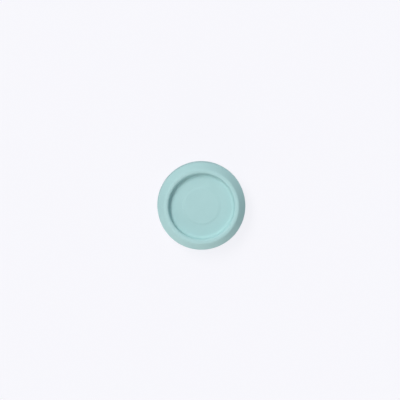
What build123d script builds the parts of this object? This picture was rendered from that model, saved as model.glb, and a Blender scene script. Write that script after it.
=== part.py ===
from build123d import *

import math
import os

# A round magnetic soap holder that sticks to a wall.
#
# A moulded dish with a soft bevelled rim stands off the wall on an adhesive foam pad. Behind the dish floor
# a pot magnet (steel cup, magnet disc and potting ring) sits in a ribbed pocket. A back plate snaps into the
# skirt, presses the pot against the floor and squeezes a seal ring round the pocket, so no water gets in.
#
# Frame: millimetres, +Z up. The wall is the plane Y = 0 and the dish faces -Y. The origin is the centre of
# the pad's wall face. A section is drawn as (radius, level), where level is the distance from the wall.

# Adhesive pad, a die-cut foam disc
pad_thickness = 1.0
pad_recess_depth = 0.4
pad_edge_clearance = 0.2
pad_edge_round = 0.12

# Back plate
plate_thickness = 2.0
plate_rim_width = 1.6
plate_edge_round = 0.25
plate_clearance = 0.1
bead_height = 0.35
bead_width = 0.9
bead_round = 0.2
bead_clearance = 0.08
pry_notch_width = 5.0
pry_notch_reach = 0.8
pry_notch_round = 0.35

# Pot magnet
cup_diameter = 20.0
cup_height = 6.0
cup_base = 1.5
cup_wall = 1.2
cup_corner_round = 0.6
cup_lip_round = 0.2
magnet_edge_chamfer = 0.25
potting_width = 0.9
potting_sink = 0.2
pot_clearance = 0.05

# Magnet pocket in the body
pocket_clearance = 0.15
pocket_wall = 2.0
crush_rib_count = 6
crush_rib_radius = 0.4
crush_rib_gap = 0.05
magnet_seat_height = 0.6
magnet_seat_margin = 1.5
rib_count = 8
rib_thickness = 1.2

# Seal ring, drawn as squeezed in its groove
seal_height = 0.75
seal_width = 1.2
seal_side_round = 0.3
seal_groove_clearance = 0.15

# Dish: a flat floor, a hollow round, a short straight wall and a rounded rim
dish_diameter = 34.0
dish_floor_round = 1.6
dish_wall_height = 1.0
rim_inner_round = 1.3
floor_thickness = 1.3
dish_wall = 1.6

# Plateau on the dish floor, over the pot magnet
plateau_diameter = 19.0
plateau_slope_width = 1.1
plateau_height = 0.17
plateau_round = 1.5

# Rim, bevel and skirt
rim_width = 2.2
rim_outer_round = 1.4
bevel_width = 3.6
bevel_drop = 4.1
bevel_crown = 0.12
bevel_crown_round = 15.0
bevel_wall = 1.8
shoulder_round = 0.8
side_draft = 0.2
skirt_wall = 2.0
skirt_edge_round = 0.5
lead_in = 0.35
under_rim_slot = 0.8
under_rim_round = 0.3
under_dish_round = 1.3
cavity_corner_round = 0.8

# Length by which cutting solids run past what they cut
overrun = 1.0

# Levels, each a distance from the wall
back_level = pad_thickness - pad_recess_depth
pad_seat_level = pad_thickness
plate_front_level = back_level + plate_thickness
bead_level = back_level + plate_thickness / 2
cup_back_level = plate_front_level + magnet_seat_height
underside_level = cup_back_level + cup_height
floor_level = underside_level + floor_thickness
plateau_level = floor_level + plateau_height
dish_depth = dish_floor_round + dish_wall_height + rim_inner_round
holder_depth = floor_level + dish_depth
shoulder_level = holder_depth - bevel_drop
seal_floor_level = plate_front_level - seal_height

# Radii
dish_radius = dish_diameter / 2
rim_outer_radius = dish_radius + rim_width
shoulder_radius = rim_outer_radius + bevel_width
holder_radius = shoulder_radius + side_draft
seat_radius = holder_radius - skirt_wall
dish_back_radius = dish_radius + dish_wall
plate_radius = seat_radius - plate_clearance
pad_recess_radius = plate_radius - plate_rim_width
pad_radius = pad_recess_radius - pad_edge_clearance
cup_radius = cup_diameter / 2
cup_bore_radius = cup_radius - cup_wall
magnet_radius = cup_bore_radius - potting_width
pocket_radius = cup_radius + pocket_clearance
pocket_outer_radius = pocket_radius + pocket_wall
seal_radius = (pocket_radius + pocket_outer_radius) / 2
bead_tip_radius = plate_radius + bead_height
plateau_radius = plateau_diameter / 2

# Section plane: its x is the radius and its y the level. Face plane: its z is the level.
SECTION = Plane(origin=(0, 0, 0), x_dir=(1, 0, 0), z_dir=(0, 0, -1))
FACE = Plane(origin=(0, 0, 0), x_dir=(1, 0, 0), z_dir=(0, -1, 0))


def turned(corners):
    """A solid turned about the holder's axis from (radius, level, corner round) triples."""
    with BuildPart() as solid:
        with BuildSketch(SECTION):
            with BuildLine():
                FilletPolyline(
                    *[(radius, level) for radius, level, _ in corners],
                    radius=[corner_round for _, _, corner_round in corners],
                    close=True,
                )
            make_face()
        revolve(axis=Axis.Y)
    return solid.part


def under_bevel_level(radius):
    """Level of the bevel's inner face at a radius: the bevel's outer line moved in by bevel_wall."""
    fall = (radius - rim_outer_radius) * bevel_drop / bevel_width
    bevel_length = math.hypot(bevel_width, bevel_drop)
    return holder_depth - fall - bevel_wall * bevel_length / bevel_width


def envelope():
    """The body as if it were solid: plateau, dish, rim, bevel, side and back edge."""
    bevel_middle_radius = (shoulder_radius + rim_outer_radius) / 2
    bevel_middle_level = (shoulder_level + holder_depth) / 2 + bevel_crown
    return turned(
        [
            (0, back_level, 0),
            (holder_radius, back_level, skirt_edge_round),
            (shoulder_radius, shoulder_level, shoulder_round),
            (bevel_middle_radius, bevel_middle_level, bevel_crown_round),
            (rim_outer_radius, holder_depth, rim_outer_round),
            (dish_radius, holder_depth, rim_inner_round),
            (dish_radius, floor_level, dish_floor_round),
            (plateau_radius + plateau_slope_width / 2, floor_level, plateau_round),
            (plateau_radius - plateau_slope_width / 2, plateau_level, plateau_round),
            (0, plateau_level, 0),
        ]
    )


def cavity():
    """The hollow behind the dish: a lead-in and a snap groove for the plate, and a slot under the rim."""
    slot_radius = dish_back_radius + under_rim_slot
    slot_level = under_bevel_level(slot_radius)
    slot_depth = slot_level - underside_level
    dish_round = min(under_dish_round, slot_depth / 2)
    groove_half_width = bead_width / 2 + bead_clearance
    groove_land = bead_level - groove_half_width - back_level
    lead_in_depth = min(lead_in, groove_land / 2)
    return turned(
        [
            (0, back_level - overrun, 0),
            (seat_radius + lead_in, back_level - overrun, 0),
            (seat_radius + lead_in, back_level, 0),
            (seat_radius, back_level + lead_in_depth, 0),
            (seat_radius, bead_level - groove_half_width, 0),
            (bead_tip_radius + bead_clearance, bead_level, bead_round),
            (seat_radius, bead_level + groove_half_width, 0),
            (seat_radius, under_bevel_level(seat_radius), cavity_corner_round),
            (slot_radius, slot_level, under_rim_round),
            (dish_back_radius, slot_level, under_rim_round),
            (dish_back_radius, underside_level, dish_round),
            (0, underside_level, 0),
        ]
    )


def pocket_and_ribs():
    """The round wall that holds the pot magnet, its crush ribs, and the ribs that tie it to the skirt."""
    rib_length = seat_radius + skirt_wall / 2 - pocket_radius
    rib_middle = pocket_radius + rib_length / 2
    crush_reach = pocket_clearance - crush_rib_gap
    crush_centre = pocket_radius - crush_reach + crush_rib_radius
    height = holder_depth - plate_front_level
    with BuildPart() as pocket:
        with BuildSketch(FACE.offset(plate_front_level)):
            Circle(pocket_outer_radius)
            with PolarLocations(rib_middle, rib_count):
                Rectangle(rib_length, rib_thickness)
            Circle(pocket_radius, mode=Mode.SUBTRACT)
            with PolarLocations(crush_centre, crush_rib_count, start_angle=180 / rib_count):
                Circle(crush_rib_radius)
        extrude(amount=height)
    return pocket.part


def dish_body():
    """The front moulding: dish, rim, bevel and skirt in one, with the magnet pocket behind the floor."""
    return envelope() - (cavity() - pocket_and_ribs())


def back_plate():
    """The plate that closes the back: pad recess, snap bead, seal groove, magnet seat and pry notch."""
    magnet_seat_radius = cup_radius - magnet_seat_margin
    bead_land = (plate_thickness - bead_width) / 2
    edge_round = min(plate_edge_round, bead_land / 2)
    seat_round = min(plate_edge_round, magnet_seat_height / 2)
    plate = turned(
        [
            (0, pad_seat_level, 0),
            (pad_recess_radius, pad_seat_level, 0),
            (pad_recess_radius, back_level, edge_round / 2),
            (plate_radius, back_level, edge_round),
            (plate_radius, bead_level - bead_width / 2, 0),
            (bead_tip_radius, bead_level, bead_round),
            (plate_radius, bead_level + bead_width / 2, 0),
            (plate_radius, plate_front_level, edge_round),
            (magnet_seat_radius, plate_front_level, 0),
            (magnet_seat_radius, cup_back_level, seat_round),
            (0, cup_back_level, 0),
        ]
    )
    with BuildPart() as seal_groove:
        with BuildSketch(FACE.offset(seal_floor_level)):
            Circle(seal_radius + seal_width / 2 + seal_groove_clearance)
            Circle(seal_radius - seal_width / 2 - seal_groove_clearance, mode=Mode.SUBTRACT)
        extrude(amount=seal_height + overrun / 2)
    with BuildPart() as pry_notch:
        with BuildSketch(FACE.offset(back_level - overrun)):
            with Locations((0, -plate_radius)):
                RectangleRounded(pry_notch_width, 2 * pry_notch_reach, pry_notch_round)
        extrude(amount=plate_thickness + 2 * overrun)
    return plate - seal_groove.part - pry_notch.part


def adhesive_pad():
    """The foam disc: its wall face is the plane of the wall, its front lies in the plate's recess."""
    return turned(
        [
            (0, 0, 0),
            (pad_radius, 0, pad_edge_round),
            (pad_radius, pad_thickness, pad_edge_round),
            (0, pad_thickness, 0),
        ]
    )


def magnet_cup():
    """The drawn steel cup of the pot magnet, open towards the dish floor."""
    cup_floor_level = cup_back_level + cup_base
    return turned(
        [
            (0, cup_back_level, 0),
            (cup_radius, cup_back_level, cup_corner_round),
            (cup_radius, underside_level, cup_lip_round),
            (cup_bore_radius, underside_level, cup_lip_round),
            (cup_bore_radius, cup_floor_level, 0),
            (0, cup_floor_level, 0),
        ]
    )


def magnet():
    """The magnet disc, flush with the cup's lip."""
    magnet_back_level = cup_back_level + cup_base
    with BuildPart() as disc:
        with BuildSketch(FACE.offset(magnet_back_level)):
            Circle(magnet_radius)
        extrude(amount=cup_height - cup_base)
        chamfer(disc.edges().filter_by(GeomType.CIRCLE), length=magnet_edge_chamfer)
    return disc.part


def potting_ring():
    """The resin cast between magnet and cup, a little below their faces."""
    with BuildPart() as ring:
        with BuildSketch(FACE.offset(cup_back_level + cup_base)):
            Circle(cup_bore_radius - pot_clearance)
            Circle(magnet_radius + pot_clearance, mode=Mode.SUBTRACT)
        extrude(amount=cup_height - cup_base - potting_sink)
    return ring.part


def seal_ring():
    """The rubber ring between the pocket wall's end and the back plate, squeezed to the groove's depth."""
    inner_radius = seal_radius - seal_width / 2
    outer_radius = seal_radius + seal_width / 2
    return turned(
        [
            (inner_radius, seal_floor_level, seal_side_round),
            (outer_radius, seal_floor_level, seal_side_round),
            (outer_radius, plate_front_level, seal_side_round),
            (inner_radius, plate_front_level, seal_side_round),
        ]
    )


PIECES = {
    "dish_body": dish_body,
    "back_plate": back_plate,
    "adhesive_pad": adhesive_pad,
    "magnet_cup": magnet_cup,
    "magnet": magnet,
    "potting_ring": potting_ring,
    "seal_ring": seal_ring,
}

os.makedirs("parts", exist_ok=True)
for name, make in PIECES.items():
    export_step(make(), f"parts/{name}.step")

print(f"holder {2 * holder_radius:.2f} across, {holder_depth:.2f} deep")
print(f"dish floor at {floor_level:.2f}, plateau at {plateau_level:.2f}, dish {dish_depth:.2f} deep")
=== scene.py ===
import math

import bmesh
import bpy
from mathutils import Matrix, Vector, noise


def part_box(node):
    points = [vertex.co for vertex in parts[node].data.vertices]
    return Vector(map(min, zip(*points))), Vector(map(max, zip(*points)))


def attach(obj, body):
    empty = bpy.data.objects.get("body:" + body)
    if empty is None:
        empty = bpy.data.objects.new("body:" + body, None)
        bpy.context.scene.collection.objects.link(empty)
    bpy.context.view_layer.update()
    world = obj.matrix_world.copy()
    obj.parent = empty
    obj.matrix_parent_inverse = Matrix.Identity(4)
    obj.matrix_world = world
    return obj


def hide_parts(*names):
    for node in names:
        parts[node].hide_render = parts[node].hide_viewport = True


# A round magnetic soap holder on a pale wall. The construction comes from the frame. This script gives each
# part its finish, models the foam pad with its two adhesive films, and sets up the wall, floor, lamps and
# camera.
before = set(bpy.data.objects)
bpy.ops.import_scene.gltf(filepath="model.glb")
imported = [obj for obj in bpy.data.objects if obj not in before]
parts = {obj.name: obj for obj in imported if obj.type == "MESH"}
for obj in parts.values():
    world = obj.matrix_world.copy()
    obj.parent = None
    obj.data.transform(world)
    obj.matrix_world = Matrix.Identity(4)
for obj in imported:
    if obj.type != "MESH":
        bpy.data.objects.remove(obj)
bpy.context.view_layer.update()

MM = 0.001

# Places that the frame gives, all measured from the holder's axis or from the wall plane at y = 0
pad_low, pad_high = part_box("adhesive_pad")
holder_front = -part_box("dish_body")[0].y
pad_radius = pad_high.x
pad_thickness = pad_high.y - pad_low.y

# Foam pad, cut by a steel rule die that leaves its edge slightly waisted and shows the cells
pad_edge_margin = 0.07 * MM
pad_waist = 0.05 * MM
pad_cell_size = 0.5 * MM
pad_cell_depth = 0.05 * MM
pad_edge_rings = 9
pad_steps = 640

# Adhesive films on the pad's two faces
film_thickness = 0.06 * MM
film_inset = 0.04 * MM
film_edge_steps = 6
film_steps = 256

# Wall, and the floor that it sweeps into through a cove
wall_gap = 0.15 * MM
wall_half_width = 1200 * MM
floor_drop = 160 * MM
floor_reach = 1200 * MM
cove_radius = 60 * MM
cove_steps = 12
backdrop_tone = (0.935, 0.935, 0.978)

# The backdrop shines by itself, a little less near the holder, so that it keeps the holder's shadow there
near_glow_share = 0.9
shadow_near = 80 * MM
shadow_far = 300 * MM

# Light, as the share that each source gives to a white surface that faces it, and its tint
ambient_share = 0.25
ambient_tint = (0.93, 1.0, 1.1)
key_tint = (1.07, 1.0, 0.985)
low_tint = (1.15, 1.0, 0.93)
plain_tint = (1.0, 1.0, 1.0)

# Camera and framing, in degrees, lens millimetres and the pixels of a picture that is 400 wide and high
picture_width = 400
disc_centre_px = (201.4, 205.7)
millimetres_per_px = 0.5204
camera_azimuth = -1.0
camera_elevation = 3.8
camera_lens = 150.0
camera_sensor = 36.0


# Nodes of a material or a shared effect

def feed(tree, node, inputs):
    """Feeds a node's sockets, by name or number, with another node's output or with a plain value."""
    for key, source in inputs.items():
        socket = node.inputs[key]
        if isinstance(source, bpy.types.NodeSocket):
            tree.links.new(source, socket)
        elif socket.type == "RGBA":
            socket.default_value = (*source, 1.0)
        else:
            socket.default_value = source


def add(tree, kind, inputs, **settings):
    """Adds a node, sets its properties and feeds its sockets."""
    node = tree.nodes.new(kind)
    for key, value in settings.items():
        setattr(node, key, value)
    feed(tree, node, inputs)
    return node


def calculate(tree, operation, first, second):
    """The result of an operation on two values."""
    return add(tree, "ShaderNodeMath", {0: first, 1: second}, operation=operation).outputs[0]


def measure_length(tree, vector):
    """The length of a vector."""
    return add(tree, "ShaderNodeVectorMath", {0: vector}, operation="LENGTH").outputs["Value"]


def ease(tree, value, ends):
    """A value that moves softly from one end to the other."""
    node = add(tree, "ShaderNodeMapRange", {"Value": value, **ends}, interpolation_type="SMOOTHSTEP")
    return node.outputs["Result"]


def blend_value(tree, mask, low, high):
    """A value that goes from low to high with a mask."""
    node = add(tree, "ShaderNodeMapRange", {"Value": mask, "To Min": low, "To Max": high})
    return node.outputs["Result"]


def blend_colour(tree, mask, low, high):
    """A colour that goes from low to high with a mask. Either may be a colour or another node's output."""
    return add(tree, "ShaderNodeMix", {"Factor": mask, 6: low, 7: high}, data_type="RGBA").outputs[2]


def bump(tree, height, depth, under=None):
    """A surface relief of a real depth in metres, on top of another relief if one is given."""
    node = add(tree, "ShaderNodeBump", {"Height": height, "Distance": depth})
    if under is not None:
        feed(tree, node, {"Normal": under})
    return node.outputs["Normal"]


# Effects that several finishes share, as node groups. Cells and Clouds are counts per metre.

def new_group(name, amounts, result):
    """A node group with a Vector, some amounts and one result, with its input values and its end node."""
    group = bpy.data.node_groups.new(name, "ShaderNodeTree")
    group.interface.new_socket("Vector", in_out="INPUT", socket_type="NodeSocketVector")
    for label in amounts:
        group.interface.new_socket(label, in_out="INPUT", socket_type="NodeSocketFloat")
    group.interface.new_socket(result, in_out="OUTPUT", socket_type="NodeSocketFloat")
    given = group.nodes.new("NodeGroupInput").outputs
    return group, given, group.nodes.new("NodeGroupOutput")


def grain_group():
    """Spark-eroded mould grain: rounded cells with a finer noise on top. Puts out a height from 0 to 1."""
    group, given, leave = new_group("mould_grain", ["Cells"], "Height")
    fineness = 2.3
    fine_share = 0.45
    fine_cells = calculate(group, "MULTIPLY", given["Cells"], fineness)
    rounded = add(
        group, "ShaderNodeTexVoronoi",
        {"Vector": given["Vector"], "Scale": given["Cells"], "Smoothness": 0.6}, feature="SMOOTH_F1",
    )
    fine = add(
        group, "ShaderNodeTexNoise",
        {"Vector": given["Vector"], "Scale": fine_cells, "Detail": 3.0, "Roughness": 0.6},
    )
    mixed = add(
        group, "ShaderNodeMix",
        {"Factor": fine_share, "A": rounded.outputs["Distance"], "B": fine.outputs["Fac"]},
    )
    feed(group, leave, {"Height": mixed.outputs["Result"]})
    return group


def mottle_group():
    """A slow, soft cloud, from 0 to 1, for the way a moulded colour varies over a part."""
    group, given, leave = new_group("soft_mottle", ["Clouds"], "Mask")
    shape = {"Detail": 4.0, "Roughness": 0.55, "Distortion": 0.4}
    cloud = add(
        group, "ShaderNodeTexNoise", {"Vector": given["Vector"], "Scale": given["Clouds"], **shape}
    )
    feed(group, leave, {"Mask": ease(group, cloud.outputs["Fac"], {"From Min": 0.3, "From Max": 0.7})})
    return group


def fleck_group():
    """Sparse specks: one soft dot in a share of the cells. Puts out 1 inside a speck."""
    group, given, leave = new_group("flecks", ["Cells", "Share", "Size"], "Mask")
    cells = add(group, "ShaderNodeTexVoronoi", {"Vector": given["Vector"], "Scale": given["Cells"]})
    chance = add(group, "ShaderNodeSeparateColor", {"Color": cells.outputs["Color"]})
    chosen = calculate(group, "LESS_THAN", chance.outputs["Red"], given["Share"])
    ends = {"From Max": given["Size"], "To Min": 1.0, "To Max": 0.0}
    dot = ease(group, cells.outputs["Distance"], ends)
    feed(group, leave, {"Mask": calculate(group, "MULTIPLY", chosen, dot)})
    return group


mould_grain = grain_group()
soft_mottle = mottle_group()
flecks = fleck_group()


# Finishes

def new_finish(name):
    """A material, its node tree, its shader and an Object coordinate."""
    finish = bpy.data.materials.new(name)
    finish.use_nodes = True
    tree = finish.node_tree
    place = tree.nodes.new("ShaderNodeTexCoord").outputs["Object"]
    return finish, tree, tree.nodes["Principled BSDF"], place


def effect(tree, group, place, **amounts):
    """Places a shared effect in a material with its own amounts, and gives what it puts out."""
    return add(tree, "ShaderNodeGroup", {"Vector": place, **amounts}, node_tree=group).outputs[0]


def moulded_nylon(name, light, dark, speck, roughness, grain_cells, grain_depth):
    """Recycled nylon: a cloudy colour with fine specks, a satin mould grain and a faint flow ripple."""
    finish, tree, shader, place = new_finish(name)
    cloud = effect(tree, soft_mottle, place, Clouds=150.0)
    specks = effect(tree, flecks, place, Cells=1300.0, Share=0.1, Size=0.2)
    speck_strength = blend_value(tree, specks, low=0.0, high=0.5)
    grain = effect(tree, mould_grain, place, Cells=grain_cells)
    smooth, rough = roughness
    flow = effect(tree, soft_mottle, place, Clouds=260.0)
    ripple = bump(tree, flow, depth=0.004 * MM)
    looks = {
        "Base Color": blend_colour(tree, speck_strength, blend_colour(tree, cloud, dark, light), speck),
        "Roughness": blend_value(tree, grain, low=smooth, high=rough),
        "Normal": bump(tree, grain, depth=grain_depth, under=ripple),
        "IOR": 1.5,
        "Specular IOR Level": 0.1,
    }
    feed(tree, shader, looks)
    return finish


def plated_steel():
    """Zinc-plated drawn steel: bluish, with fine draw lines round the axis and cloudy plating."""
    finish, tree, shader, place = new_finish("plated_steel")
    dull_zinc = (0.5, 0.52, 0.55)
    bright_zinc = (0.66, 0.67, 0.69)
    without_axis = (1.0, 0.0, 1.0)
    cloud = effect(tree, soft_mottle, place, Clouds=400.0)
    across = add(tree, "ShaderNodeVectorMath", {0: place, 1: without_axis}, operation="MULTIPLY")
    radius = measure_length(tree, across.outputs["Vector"])
    lines = add(
        tree, "ShaderNodeTexNoise", {"W": radius, "Scale": 9000.0, "Detail": 2.0}, noise_dimensions="1D"
    )
    looks = {
        "Base Color": blend_colour(tree, cloud, dull_zinc, bright_zinc),
        "Roughness": blend_value(tree, cloud, low=0.4, high=0.28),
        "Normal": bump(tree, lines.outputs["Fac"], depth=0.003 * MM),
        "Metallic": 1.0,
    }
    feed(tree, shader, looks)
    return finish


def nickel_plate():
    """Bright nickel on a ground magnet, with a faint orange peel and a few rubbed spots."""
    finish, tree, shader, place = new_finish("nickel_plate")
    dull_nickel = (0.62, 0.58, 0.52)
    bright_nickel = (0.72, 0.69, 0.63)
    cloud = effect(tree, soft_mottle, place, Clouds=600.0)
    peel = effect(tree, mould_grain, place, Cells=2500.0)
    looks = {
        "Base Color": blend_colour(tree, cloud, dull_nickel, bright_nickel),
        "Roughness": blend_value(tree, cloud, low=0.12, high=0.24),
        "Normal": bump(tree, peel, depth=0.002 * MM),
        "Metallic": 1.0,
    }
    feed(tree, shader, looks)
    return finish


def cast_resin():
    """Black potting resin: glossy, with a slow sag and small closed bubbles."""
    finish, tree, shader, place = new_finish("cast_resin")
    black = (0.022, 0.022, 0.025)
    soot = (0.036, 0.036, 0.04)
    cloud = effect(tree, soft_mottle, place, Clouds=500.0)
    bubbles = effect(tree, flecks, place, Cells=1800.0, Share=0.15, Size=0.25)
    sag = bump(tree, cloud, depth=0.01 * MM)
    looks = {
        "Base Color": blend_colour(tree, cloud, black, soot),
        "Roughness": blend_value(tree, bubbles, low=0.18, high=0.4),
        "Normal": bump(tree, bubbles, depth=-0.02 * MM, under=sag),
    }
    feed(tree, shader, looks)
    return finish


def seal_rubber():
    """Black moulded rubber with a dusty bloom."""
    finish, tree, shader, place = new_finish("seal_rubber")
    black = (0.014, 0.014, 0.015)
    dusty = (0.03, 0.03, 0.031)
    bloom = effect(tree, soft_mottle, place, Clouds=700.0)
    grain = effect(tree, mould_grain, place, Cells=4000.0)
    looks = {
        "Base Color": blend_colour(tree, bloom, black, dusty),
        "Roughness": blend_value(tree, bloom, low=0.5, high=0.72),
        "Normal": bump(tree, grain, depth=0.006 * MM),
    }
    feed(tree, shader, looks)
    return finish


def pad_foam():
    """Closed-cell foam: off-white, with thin cell walls and open pits where the die has cut it. The sunken
    pits are painted darker than the walls, as painted shade.
    """
    finish, tree, shader, place = new_finish("pad_foam")
    shaded_foam = (0.74, 0.74, 0.72)
    pale_foam = (0.82, 0.82, 0.8)
    cell_wall = (0.88, 0.88, 0.86)
    cloud = effect(tree, soft_mottle, place, Clouds=300.0)
    cells = add(
        tree, "ShaderNodeTexVoronoi", {"Vector": place, "Scale": 1 / pad_cell_size},
        feature="DISTANCE_TO_EDGE",
    )
    pits_and_painted_shade = ease(tree, cells.outputs["Distance"], {"From Min": 0.02, "From Max": 0.2})
    body = blend_colour(tree, cloud, shaded_foam, pale_foam)
    looks = {
        # Painted shade: the sunken pits take the darker foam colour and the cell walls the light one
        "Base Color": blend_colour(tree, pits_and_painted_shade, cell_wall, body),
        "Roughness": blend_value(tree, pits_and_painted_shade, low=0.6, high=0.85),
        "Normal": bump(tree, pits_and_painted_shade, depth=-0.03 * MM),
    }
    feed(tree, shader, looks)
    return finish


def adhesive_film():
    """Acrylic adhesive on the foam, milky: cells show through it, with coating lines and small bubbles."""
    finish, tree, shader, place = new_finish("adhesive_film")
    cell_wall = (0.9, 0.9, 0.885)
    open_cell = (0.66, 0.665, 0.655)
    milk = (0.8, 0.8, 0.79)
    bubble = (0.6, 0.6, 0.59)
    cells = effect(tree, mould_grain, place, Cells=1 / pad_cell_size)
    bubbles = effect(tree, flecks, place, Cells=800.0, Share=0.3, Size=0.25)
    bubble_strength = blend_value(tree, bubbles, low=0.0, high=0.8)
    cloud = effect(tree, soft_mottle, place, Clouds=200.0)
    haze = blend_value(tree, cloud, low=0.15, high=0.4)
    stripes = {"Scale": 260.0, "Distortion": 2.5, "Detail": 2.0, "Detail Scale": 0.6}
    lines = add(tree, "ShaderNodeTexWave", {"Vector": place, **stripes}, bands_direction="X")
    milky = blend_colour(tree, haze, blend_colour(tree, cells, cell_wall, open_cell), milk)
    coated = bump(tree, lines.outputs["Fac"], depth=0.004 * MM)
    pressed = bump(tree, cells, depth=0.02 * MM, under=coated)
    looks = {
        "Base Color": blend_colour(tree, bubble_strength, milky, bubble),
        "Roughness": blend_value(tree, lines.outputs["Fac"], low=0.3, high=0.5),
        "Normal": bump(tree, bubbles, depth=0.02 * MM, under=pressed),
        "Coat Weight": 0.15,
        "Coat Roughness": 0.3,
    }
    feed(tree, shader, looks)
    return finish


# Objects

def put(name, data):
    """An object that holds a mesh, lamp or camera, in the scene."""
    held = bpy.data.objects.new(name, data)
    bpy.context.scene.collection.objects.link(held)
    return held


def put_shape(name, shape, finish):
    """An object at the origin from a finished bmesh, with smooth faces and its finish."""
    for face in shape.faces:
        face.smooth = True
    mesh = bpy.data.meshes.new(name)
    shape.to_mesh(mesh)
    shape.free()
    mesh.materials.append(finish)
    return put(name, mesh)


def put_piece(name, shape, finish):
    """A piece of the holder, which rides on its body and takes the finish that it is given."""
    piece = put_shape(name, shape, finish)
    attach(piece, "root")
    return piece


# The pad's foam and films

def lathe(outline, steps):
    """A closed piece turned about the holder's axis from (radius, y) points that begin and end on it."""
    shape = bmesh.new()
    points = [shape.verts.new((radius, y, 0.0)) for radius, y in outline]
    edges = [shape.edges.new(pair) for pair in zip(points, points[1:])]
    bmesh.ops.spin(
        shape, geom=points + edges, cent=(0, 0, 0), axis=(0, 1, 0), angle=2 * math.pi, steps=steps,
        use_merge=True, use_duplicate=False,
    )
    merge_distance = film_thickness / 100
    bmesh.ops.remove_doubles(shape, verts=shape.verts, dist=merge_distance)
    bmesh.ops.recalc_face_normals(shape, faces=shape.faces)
    return shape


def foam_core():
    """The pad's foam: flat faces under the films, and a die-cut edge with cells and a slight waist."""
    edge_radius = pad_radius - pad_edge_margin
    flat_radius = edge_radius - pad_cell_size
    low, high = film_thickness, pad_thickness - film_thickness
    outline = [(0.0, -low), (flat_radius, -low), (edge_radius - pad_waist, -low)]
    for ring in range(pad_edge_rings):
        share = ring / (pad_edge_rings - 1)
        waist = pad_waist * math.sin(math.pi * share)
        outline.append((edge_radius - waist, -low - share * (high - low)))
    outline += [(edge_radius - pad_waist, -high), (flat_radius, -high), (0.0, -high)]
    shape = lathe(outline, pad_steps)
    # The cells pit the cut edge only, between its first and last rings
    cut_margin = pad_waist / 10
    for vert in shape.verts:
        radius = math.hypot(vert.co.x, vert.co.z)
        between_faces = low + cut_margin < -vert.co.y < high - cut_margin
        if radius > edge_radius - 2 * pad_waist and between_faces:
            pit = noise.noise(vert.co / pad_cell_size)
            pull = 1 - max(0.0, pit) * pad_cell_depth / radius
            vert.co.x *= pull
            vert.co.z *= pull
    return shape


def film(y_out, y_in):
    """One adhesive film: a thin disc with a half-round edge, a little smaller than the foam."""
    half = (y_out - y_in) / 2
    middle = (y_out + y_in) / 2
    round_radius = pad_radius - pad_edge_margin - film_inset - half
    flat_radius = round_radius - film_thickness
    outline = [(0.0, y_out), (flat_radius, y_out)]
    for step in range(film_edge_steps + 1):
        turn = math.pi * step / film_edge_steps
        outline.append((round_radius + half * math.sin(turn), middle + half * math.cos(turn)))
    outline += [(flat_radius, y_in), (0.0, y_in)]
    return lathe(outline, film_steps)


# The holder

finishes = {
    "dish_body": moulded_nylon(
        "mint_nylon", light=(0.413, 0.657, 0.658), dark=(0.403, 0.645, 0.646), speck=(0.3, 0.53, 0.54),
        roughness=(0.56, 0.7), grain_cells=5000.0, grain_depth=0.005 * MM,
    ),
    "back_plate": moulded_nylon(
        "plate_nylon", light=(0.4, 0.625, 0.63), dark=(0.38, 0.605, 0.61), speck=(0.28, 0.5, 0.51),
        roughness=(0.6, 0.74), grain_cells=4000.0, grain_depth=0.008 * MM,
    ),
    "magnet_cup": plated_steel(),
    "magnet": nickel_plate(),
    "potting_ring": cast_resin(),
    "seal_ring": seal_rubber(),
}
for node, finish in finishes.items():
    parts[node].material_slots[0].material = finish

foam_pad = put_piece("foam_pad", foam_core(), pad_foam())
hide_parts("adhesive_pad")

tack = adhesive_film()
put_piece("adhesive_film_wall", film(0.0, -film_thickness), tack)
put_piece("adhesive_film_plate", film(film_thickness - pad_thickness, -pad_thickness), tack)


# Wall and floor

def seen_by_camera(tree):
    """1 for camera, glossy and transmission rays, 0 for the rays that carry light onto the holder."""
    path = tree.nodes.new("ShaderNodeLightPath").outputs
    glossy_too = calculate(tree, "MAXIMUM", path["Is Camera Ray"], path["Is Glossy Ray"])
    return calculate(tree, "MAXIMUM", glossy_too, path["Is Transmission Ray"])


def mix_shaders(tree, share, first, second):
    """A mix of two shader nodes: all first at a share of 0, all second at 1."""
    return add(tree, "ShaderNodeMixShader", {0: share, 1: first.outputs[0], 2: second.outputs[0]})


def backdrop_finish():
    """A pale wall that keeps a faint shadow near the holder, and is clear from behind and to the light."""
    finish, tree, shader, place = new_finish("backdrop")
    tree.nodes.remove(shader)
    lit = add(tree, "ShaderNodeBsdfDiffuse", {"Color": backdrop_tone})
    glow = add(tree, "ShaderNodeEmission", {"Color": backdrop_tone, "Strength": 1.0})
    ends = {"From Min": shadow_near, "From Max": shadow_far, "To Min": near_glow_share, "To Max": 1.0}
    pale = mix_shaders(tree, ease(tree, measure_length(tree, place), ends), lit, glow)
    behind = tree.nodes.new("ShaderNodeNewGeometry").outputs["Backfacing"]
    in_front = calculate(tree, "SUBTRACT", 1.0, behind)
    shown = calculate(tree, "MULTIPLY", in_front, seen_by_camera(tree))
    clear = tree.nodes.new("ShaderNodeBsdfTransparent")
    whole = mix_shaders(tree, shown, clear, pale)
    feed(tree, tree.nodes["Material Output"], {"Surface": whole.outputs[0]})
    return finish


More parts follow.
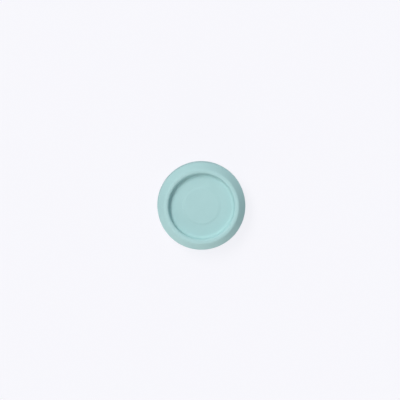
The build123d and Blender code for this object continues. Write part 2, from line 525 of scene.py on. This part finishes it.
def backdrop():
    """The wall behind the holder, swept through a cove into the floor below it."""
    section = [(wall_gap, wall_half_width)]
    for step in range(cove_steps + 1):
        turn = math.pi / 2 * step / cove_steps
        y = wall_gap - cove_radius * (1 - math.cos(turn))
        z = -floor_drop + cove_radius * (1 - math.sin(turn))
        section.append((y, z))
    section.append((-floor_reach, -floor_drop))
    shape = bmesh.new()
    points = [shape.verts.new((-wall_half_width, y, z)) for y, z in section]
    edges = [shape.edges.new(pair) for pair in zip(points, points[1:])]
    swept = bmesh.ops.extrude_edge_only(shape, edges=edges)["geom"]
    moved = [item for item in swept if isinstance(item, bmesh.types.BMVert)]
    bmesh.ops.translate(shape, verts=moved, vec=(2 * wall_half_width, 0, 0))
    shape.normal_update()
    if sum(face.normal.y for face in shape.faces) > 0:
        bmesh.ops.reverse_faces(shape, faces=shape.faces)
    put_shape("backdrop", shape, backdrop_finish())


# Lamps and camera

def studio_air():
    """The world: plain soft light for the holder, and white where the camera or a reflection sees it."""
    world = bpy.data.worlds.new("studio")
    bpy.context.scene.world = world
    world.use_nodes = True
    tree = world.node_tree
    soft = tree.nodes["Background"]
    feed(tree, soft, {"Color": ambient_tint, "Strength": ambient_share})
    white = add(tree, "ShaderNodeBackground", {"Color": backdrop_tone, "Strength": 1.0})
    whole = mix_shaders(tree, seen_by_camera(tree), soft, white)
    feed(tree, tree.nodes["World Output"], {"Surface": whole.outputs[0]})


def direction(tilt, turn):
    """The unit vector tilt degrees away from -Y, towards turn: 0 is right, 90 is up, 180 is left."""
    lean, around = math.radians(tilt), math.radians(turn)
    return Vector((math.sin(lean) * math.cos(around), -math.cos(lean), math.sin(lean) * math.sin(around)))


def lamp(name, tilt, turn, share, spread, tint=plain_tint):
    """A soft, far lamp that stands in a direction and looks spread degrees wide from the holder."""
    light = bpy.data.lights.new(name, "SUN")
    light.angle = math.radians(spread)
    light.energy = share * math.pi
    light.color = tint
    stand = put(name, light)
    stand.rotation_mode = "QUATERNION"
    stand.rotation_quaternion = direction(tilt, turn).to_track_quat("Z", "Y")


def photographer():
    """The camera, in front of the wall and a little above, framed so that the disc lies as in the photo."""
    data = bpy.data.cameras.new("camera")
    data.lens = camera_lens
    data.sensor_width = camera_sensor
    camera = put("camera", data)
    side, rise = math.radians(camera_azimuth), math.radians(camera_elevation)
    back = Vector(
        (math.sin(side) * math.cos(rise), -math.cos(side) * math.cos(rise), math.sin(rise))
    )
    camera.rotation_mode = "QUATERNION"
    camera.rotation_quaternion = (-back).to_track_quat("-Z", "Y")
    right = camera.rotation_quaternion @ Vector((1, 0, 0))
    up = camera.rotation_quaternion @ Vector((0, 1, 0))
    distance = picture_width * millimetres_per_px * MM * camera_lens / camera_sensor
    outline_centre = Vector((0, -(holder_front + pad_thickness) / 2, 0))
    shift_right = (disc_centre_px[0] - picture_width / 2) * millimetres_per_px * MM
    shift_down = (disc_centre_px[1] - picture_width / 2) * millimetres_per_px * MM
    camera.location = outline_centre + back * distance - right * shift_right + up * shift_down
    bpy.context.scene.camera = camera


backdrop()
studio_air()
lamp("key_left", tilt=27.0, turn=146.0, share=0.39, spread=22.0, tint=key_tint)
lamp("key_high", tilt=40.0, turn=127.0, share=0.375, spread=22.0, tint=key_tint)
lamp("low_fill", tilt=84.0, turn=-92.0, share=0.45, spread=50.0, tint=low_tint)
lamp("top_fill", tilt=70.0, turn=70.0, share=0.08, spread=30.0)
lamp("rear_right", tilt=138.0, turn=12.0, share=0.3, spread=40.0)
lamp("rear_low", tilt=160.0, turn=-120.0, share=0.46, spread=40.0)
photographer()
bpy.context.scene.view_settings.view_transform = "Standard"
